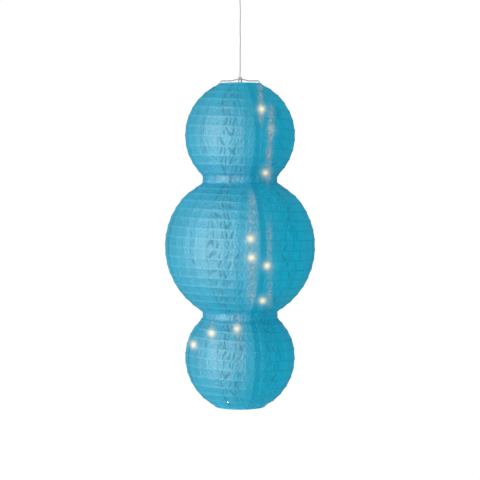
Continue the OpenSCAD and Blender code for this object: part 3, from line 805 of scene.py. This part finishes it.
class LANTERN_OT_gores(bpy.types.Operator):
    """Make the eight sewn strips of the shade"""

    bl_idname = "lantern.gores"
    bl_label = "Cloth strips"

    def execute(self, context):
        cloth = context.scene.lantern_cloth
        outline = Outline(cloth)
        finish = cloth_finish("blue cloth", sewn=True)
        rows = ROWS_PER_TURN * (cloth.turns + 1) + 1
        across = np.linspace(0, 1, GORE_COLUMNS)[None]
        down = np.linspace(0, outline.length, rows)[:, None]
        half = outline.half_pitch
        for number in range(1, GORES + 1):
            first = FIRST_SEAM + (number - 1) * GORE_STEP
            ends = smooth_step(np.minimum(down, outline.length - down) / (2.5 * half))
            r0 = outline.at(down.ravel())[0][:, None]
            angle = first + across * (GORE_STEP + cloth.lap / r0)
            drop = rib_drop(angle + math.pi)
            if number > 6:
                drop = drop - 2
            s = down + half * (drop - 1) * ends
            r, z, nr, nz = outline.at(s)
            turn = (s / half - 1 - drop) / 2
            x = r * (angle - first - GORE_STEP / 2)
            lift, crease, line = relief(cloth, x, turn, (s, half), r, number)
            from_end = r0 * (first + GORE_STEP - angle) + cloth.lap
            from_start = r0 * (angle - first)
            under = 1 - smooth_step((from_start - cloth.lap) / 0.004)
            lift = lift - (cloth.thickness + PLY_GAP) * under
            calm = smooth_step(np.minimum(s, outline.length - s) / 0.006)
            lift = lift * calm
            outer = self.lay(r + nr * lift, z + nz * lift, angle)
            turned_in = smooth_step(from_end / 0.0012)
            inner_lift = lift - cloth.thickness * (0.15 + 0.85 * turned_in)
            inner = self.lay(r + nr * inner_lift, z + nz * inner_lift, angle)
            shape = self.shell(outer, inner, rows)
            seam_x = (r0 * math.cos(FIRST_SEAM) + 0 * angle).ravel()
            lamp, wire = light_of_lamps(outer), light_of_string(outer, seam_x)
            marks = {
                "nap": (0 * x + CLOTH_NAP[number - 1]).ravel(),
                "lap_shade": (0 * x + LAP_PLY_AND_PAINTED_SHADE[number - 1]).ravel(),
                "crease": crease.ravel(), "rib_line": line.ravel(),
                "edge_mm": (from_end / MM).ravel(), "lamp_light": lamp, "wire_light": wire}
            marks = {name: np.tile(values, 2) for name, values in marks.items()}
            uv = np.tile(np.stack([from_start.ravel(), s.ravel()], 1), (2, 1))
            piece = make_piece(f"gore_{number}.cloth", shape, finish, "lantern",
                               uv=uv, marks=marks)
            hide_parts(f"gore_{number}")
            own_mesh(piece)
        return {"FINISHED"}

    @staticmethod
    def lay(radius, height, angle):
        """Points at a radius and height, turned round the axis."""
        return np.stack(np.broadcast_arrays(
            radius * np.cos(angle), radius * np.sin(angle), height), -1).reshape(-1, 3)

    @staticmethod
    def shell(outer, inner, rows):
        """A closed sheet: two grids of points, joined along their four edges."""
        cols = GORE_COLUMNS
        quads = grid_quads(rows, cols)
        index = np.arange(rows * cols).reshape(rows, cols)
        rim = np.concatenate([
            index[0, :-1], index[:-1, -1], index[-1, :0:-1], index[:0:-1, 0]])
        ahead = np.roll(rim, -1)
        edge = np.stack([ahead, rim, rim + rows * cols, ahead + rows * cols], 1)
        return np.vstack([outer, inner]), np.vstack([quads, quads[:, ::-1] + rows * cols, edge])


class LANTERN_OT_hems(bpy.types.Operator):
    """Make the two hems, each a sleeve of cloth sewn round its wire ring"""

    bl_idname = "lantern.hems"
    bl_label = "Hems"

    def execute(self, context):
        cloth = context.scene.lantern_cloth
        finish = cloth_finish("hem cloth", sewn=False)
        for name, body, z, radius, way in (
                ("top_hem", "lantern", RIM_Z, RIM_R, 1),
                ("bottom_hem", "foot", FOOT_Z, FOOT_R, -1)):
            piece = make_piece(
                name, self.sleeve(cloth, z, radius, way), finish, body)
        return {"FINISHED"}

    @staticmethod
    def sleeve(cloth, z, radius, way):
        """A strip that goes up the outside of the ring, over it in a half circle and down the
        inside, ruffled by two waves round the ring that grow towards its inner edge, with the
        cloth's thickness between its two faces."""
        reach = RING_WIRE + HEM_REACH
        run = np.linspace(0, 1, 30)
        wrap = 0.62
        a = np.radians(-35 + 225 * np.clip(run / wrap, 0, 1))
        tail = np.clip((run - wrap) / (1 - wrap), 0, 1)
        across = reach * np.cos(a) + 0.0006 * tail
        height = reach * np.sin(a) - 0.0075 * tail
        out = unit(np.stack([np.cos(a), np.sin(a)], 1))
        turn = np.linspace(0, 2 * math.pi, 360, endpoint=False)[:, None]
        ruffle = (0.00028 * np.sin(47 * turn + 2 * np.sin(3 * turn))
                  + 0.00016 * np.sin(81 * turn + 1.3)) * (0.3 + tail + 0.5 * (run < 0.3))[None]
        faces = []
        for offset in (0.0, -cloth.thickness):
            u = across + out[:, 0] * offset
            v = height + out[:, 1] * offset
            u, v = u[None] + out[:, 0] * ruffle, v[None] + out[:, 1] * ruffle
            faces.append(np.stack([
                (radius + u) * np.cos(turn), (radius + u) * np.sin(turn), z + way * v], -1))
        points = np.concatenate([faces[0], faces[1][:, ::-1]], axis=1)
        return points.reshape(-1, 3), grid_quads(360, points.shape[1], True, True)


class LANTERN_OT_rib(bpy.types.Operator):
    """Make the spiral rib inside the cloth"""

    bl_idname = "lantern.rib"
    bl_label = "Spiral rib"

    def execute(self, context):
        scene = context.scene
        outline = Outline(scene.lantern_cloth)
        wire = scene.lantern_cords.rib
        turns = scene.lantern_cloth.turns
        angle = np.linspace(-0.8 * math.pi, 2 * math.pi * turns, 72 * turns + 1)
        s = outline.half_pitch * (1 + rib_drop(angle))
        r, z, nr, nz = outline.at(s)
        depth = scene.lantern_cloth.thickness + wire / 2 + 0.00012
        route = LANTERN_OT_gores.lay(r - nr * depth, z - nz * depth, angle - math.pi)
        out = LANTERN_OT_gores.lay(nr, nz, angle - math.pi)
        ahead = unit(np.gradient(route, axis=0))
        up = unit(np.cross(ahead, out))
        shape = capped_tube(route, np.cross(up, ahead), up, np.full((len(route), 8), wire / 2))
        finish = steel_finish("rib steel", scene.lantern_fittings.steel, 0.35)
        piece = make_piece("rib_spiral.wire", shape, finish, "lantern")
        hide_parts("rib_spiral")
        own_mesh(piece)
        return {"FINISHED"}


def strand_piece(name, route, thickness, strands, sides, finish, body):
    """A twisted cord along a route. Its mark "groove" is 0 along the back of a strand and
    about a half at the bottom of the groove between two strands."""
    twist = bpy.context.scene.lantern_cords.twist * thickness
    side, up = frames_along(route)
    run = np.concatenate([[0], np.cumsum(np.linalg.norm(np.diff(route, axis=0), axis=1))])
    reach = twisted_reach(run, sides, thickness, strands, twist)
    groove = (1 - reach / (thickness / 2)) / 0.38
    shape = capped_tube(route, side, up, reach)
    marks = {"groove": np.concatenate([groove.ravel(), [0.5, 0.5]])}
    return make_piece(name, shape, finish, body, marks=marks)


class LANTERN_OT_hanging_cord(bpy.types.Operator):
    """Make the twisted hanging cord, with its loop and knot"""

    bl_idname = "lantern.hanging_cord"
    bl_label = "Hanging cord"

    def execute(self, context):
        cords = context.scene.lantern_cords
        finish = cord_finish("clear cord", cords.cord_colour, 0.25)
        route = evenly(centripetal(CORD_ROUTE), 0.0006)
        piece = strand_piece("hanging_cord.strands", route, cords.cord, 2, 14, finish,
                             "cord")
        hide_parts("hanging_cord")
        low, high = box_of("cord_loop")
        eye = (high[0] - low[0] - cords.cord) / 2
        eye_z = high[2] - eye - cords.cord / 2
        knot_top = eye_z - eye
        turn = np.linspace(-math.pi / 2, 1.5 * math.pi, 150)
        loop = np.stack([eye * np.cos(turn), 0 * turn, eye_z + eye * np.sin(turn)], 1)
        wraps_round = 2.6
        wind = np.linspace(0, 2 * math.pi * wraps_round, 190)
        share = wind / wind[-1]
        bow = 0.0016 - 0.0001 * np.cos(2 * math.pi * share)
        height = knot_top + 0.0002 - 0.0052 * share
        coil = np.stack([bow * np.cos(wind), bow * np.sin(wind), height], 1)
        core = np.stack([0 * share, 0 * share, knot_top + 0.0007 - 0.0069 * share], 1)
        knot = strand_piece("cord_loop.eye", evenly(loop, 0.0004), cords.cord, 2, 12, finish,
                            "cord")
        wraps = strand_piece("cord_loop.wraps", evenly(coil, 0.0004), cords.cord * 0.98, 2, 12,
                             finish, "cord")
        inside = strand_piece("cord_loop.core", evenly(core, 0.0004), cords.cord, 2, 12, finish,
                              "cord")
        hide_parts("cord_loop")
        return {"FINISHED"}


class LANTERN_OT_lamps(bpy.types.Operator):
    """Make the twelve lamp beads"""

    bl_idname = "lantern.lamps"
    bl_label = "Lamp beads"

    def execute(self, context):
        finish = bead_finish()
        for number in range(1, LAMPS + 1):
            node = f"lamp_{number}"
            low, high = box_of(node)
            middle = (low + high) / 2
            wide, tall = (high[0] - low[0]) / 2, (high[2] - low[2]) / 2
            points, quads = turned(self.profile(wide, tall))
            core = np.exp(-(points[:, 2] / (0.55 * tall)) ** 2)
            piece = make_piece(f"{node}.bead", (points + middle, quads), finish, node,
                               marks={"core": core})
            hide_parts(node)
        return {"FINISHED"}

    @staticmethod
    def profile(wide, tall):
        """A barrel with domed ends and a collar at each end where the string goes in, with
        a hole along it."""
        hole = 0.0013
        half = np.array([
            [hole, -1.0], [0.0021, -1.0], [0.0023, -0.86], [0.0024, -0.78],
            [0.78 * wide, -0.70], [0.97 * wide, -0.45], [wide, -0.12]])
        mirrored = half[::-1] * [1, -1]
        outer = np.vstack([half, mirrored])
        outer[:, 1] *= tall
        inner = np.stack([np.full(8, hole), np.linspace(0.9, -0.9, 8) * tall], 1)
        return rounded(np.vstack([outer, inner]))


class LANTERN_OT_lamp_string(bpy.types.Operator):
    """Make the lamp string"""

    bl_idname = "lantern.lamp_string"
    bl_label = "Lamp string"

    def execute(self, context):
        cords = context.scene.lantern_cords
        finish = cord_finish("string wire", cords.string_colour, 0.12)
        route = evenly(centripetal(STRING_ROUTE), 0.0009)
        piece = strand_piece("lamp_string.pair", route, cords.string, 2, 10, finish,
                             "lantern")
        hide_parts("lamp_string")
        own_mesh(piece)
        return {"FINISHED"}


class LANTERN_OT_fittings(bpy.types.Operator):
    """Give the hook, rings, clip, hanger and battery case their finishes"""

    bl_idname = "lantern.fittings"
    bl_label = "Wire, plastic and metal finishes"

    def execute(self, context):
        fittings = context.scene.lantern_fittings
        plastic = plastic_finish("white plastic", fittings.plastic)
        # Painted light and shade: the clip's two cheeks are lit and shaded copies of the white
        # plastic, the left one lighter and the right one darker.
        pale = plastic_finish("clip plastic", [0.72 * c for c in fittings.plastic], 0.5)
        shaded = plastic_finish("clip plastic in painted shade", [0.42 * c for c in fittings.plastic], 0.5)
        dark = plastic_finish("dark plastic", (0.035, 0.037, 0.04), 0.5)
        wire = coated_wire_finish()
        steel = steel_finish("bare steel", fittings.steel)
        spring = steel_finish("spring steel", (0.66, 0.66, 0.64), 0.22)
        cell = cell_finish()
        finishes = {
            "ceiling_hook": wire, "hang_ring": steel, "swivel_ball": plastic,
            "clip_left": pale, "clip_right": shaded, "clip_rivet": steel,
            "hanger_wire": wire, "top_ring": wire, "bottom_ring": wire,
            "battery_case": plastic, "battery_lid": plastic, "lid_pin": steel,
            "cell_left": cell, "cell_right": cell, "cell_springs": spring,
            "contact_plate": spring, "switch_knob": dark, "string_gland": plastic,
        }
        for name, finish in finishes.items():
            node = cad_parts[name]
            for place in node.material_slots:
                place.material = finish
        return {"FINISHED"}


# The soft lights: place, width and height, in metres; the fill's power in W
STRIP_PLACE, STRIP_SIZE = (-1.46, -1.70, -0.55), (0.60, 3.0)
FILL_PLACE, FILL_SIZE, FILL_POWER = (-2.6, -0.9, -0.3), (1.6, 2.2), 7
FLOOR_DROP = 1.1
FLOOR_RADIUS = 1.5
BACKGROUND_WHITE = 1.02


class LANTERN_OT_stage(bpy.types.Operator):
    """Set up the camera, the floor and the studio light"""

    bl_idname = "lantern.stage"
    bl_label = "Stage"

    def execute(self, context):
        scene, stage = context.scene, context.scene.lantern_stage
        eye = Vector((0, -stage.distance, -stage.eye))
        aim = Vector((0, 0, -stage.aim))
        data = bpy.data.cameras.new("camera")
        data.angle = stage.view_angle
        data.clip_end = 50
        camera = bpy.data.objects.new("camera", data)
        camera.location = eye
        camera.rotation_euler = (aim - eye).to_track_quat("-Z", "Y").to_euler()
        scene.collection.objects.link(camera)
        scene.camera = camera
        scene.view_settings.view_transform = "Standard"

        turn = np.linspace(0, 2 * math.pi, 96, endpoint=False)
        ring = np.stack([
            FLOOR_RADIUS * np.cos(turn), FLOOR_RADIUS * np.sin(turn),
            0 * turn + FOOT_Z - FLOOR_DROP], 1)
        mesh = bpy.data.meshes.new("floor")
        mesh.from_pydata(ring.tolist(), [], [list(range(len(ring)))])
        mesh.materials.append(floor_finish())
        floor = bpy.data.objects.new("floor", mesh)
        scene.collection.objects.link(floor)

        self.room(scene, stage)
        strip = self.soft_light("strip", STRIP_PLACE, STRIP_SIZE, stage.sheen_light)
        strip.visible_diffuse = False
        self.soft_light("fill", FILL_PLACE, FILL_SIZE, FILL_POWER)
        return {"FINISHED"}

    @staticmethod
    def room(scene, stage):
        """A white room: the same soft light from all round, and plain white behind."""
        world = bpy.data.worlds.new("white room")
        scene.world = world
        world.use_nodes = True
        nodes, links = world.node_tree.nodes, world.node_tree.links
        nodes.clear()
        out = nodes.new("ShaderNodeOutputWorld")
        ray = nodes.new("ShaderNodeLightPath")
        shader = None
        for strength, kind in (
                (stage.room_light, None), (stage.room_gloss, "Is Glossy Ray"),
                (BACKGROUND_WHITE, "Is Camera Ray")):
            light = nodes.new("ShaderNodeBackground")
            light.inputs["Color"].default_value = (1, 1, 1, 1)
            light.inputs["Strength"].default_value = strength
            if kind is None:
                shader = light.outputs[0]
                continue
            mix = nodes.new("ShaderNodeMixShader")
            links.new(ray.outputs[kind], mix.inputs[0])
            links.new(shader, mix.inputs[1])
            links.new(light.outputs[0], mix.inputs[2])
            shader = mix.outputs[0]
        links.new(shader, out.inputs["Surface"])

    @staticmethod
    def soft_light(name, place, size, power):
        """A rectangular soft light that faces the middle of the shade."""
        data = bpy.data.lights.new(name, "AREA")
        data.shape = "RECTANGLE"
        data.size, data.size_y = size
        data.energy = power
        light = bpy.data.objects.new(name, data)
        light.location = place
        aim = Vector((0, 0, (RIM_Z + FOOT_Z) / 2))
        light.rotation_euler = (aim - Vector(place)).to_track_quat("-Z", "Y").to_euler()
        bpy.context.scene.collection.objects.link(light)
        return light


OPERATORS = (
    LANTERN_OT_stage, LANTERN_OT_hanging_cord, LANTERN_OT_lamps, LANTERN_OT_lamp_string,
    LANTERN_OT_gores, LANTERN_OT_hems, LANTERN_OT_rib, LANTERN_OT_fittings,
)


class LANTERN_PT_panel(bpy.types.Panel):
    """Lists the lantern's pieces"""

    bl_idname = "LANTERN_PT_panel"
    bl_label = "Accordion lantern"
    bl_space_type = "VIEW_3D"
    bl_region_type = "UI"
    bl_category = "Lantern"

    def draw(self, context):
        for operator in OPERATORS:
            self.layout.operator(operator.bl_idname)


SETTINGS = {
    "lantern_cloth": LanternCloth, "lantern_cords": LanternCords,
    "lantern_fittings": LanternFittings, "lantern_stage": LanternStage,
}


def register():
    for group in SETTINGS.values():
        bpy.utils.register_class(group)
    for name, group in SETTINGS.items():
        setattr(bpy.types.Scene, name, PointerProperty(type=group))
    for operator in OPERATORS:
        bpy.utils.register_class(operator)
    bpy.utils.register_class(LANTERN_PT_panel)


def unregister():
    bpy.utils.unregister_class(LANTERN_PT_panel)
    for operator in reversed(OPERATORS):
        bpy.utils.unregister_class(operator)
    for name in SETTINGS:
        delattr(bpy.types.Scene, name)
    for group in reversed(SETTINGS.values()):
        bpy.utils.unregister_class(group)


def main():
    register()
    for operator in OPERATORS:
        group, name = operator.bl_idname.split(".")
        getattr(getattr(bpy.ops, group), name)()


if __name__ == "__main__":
    main()
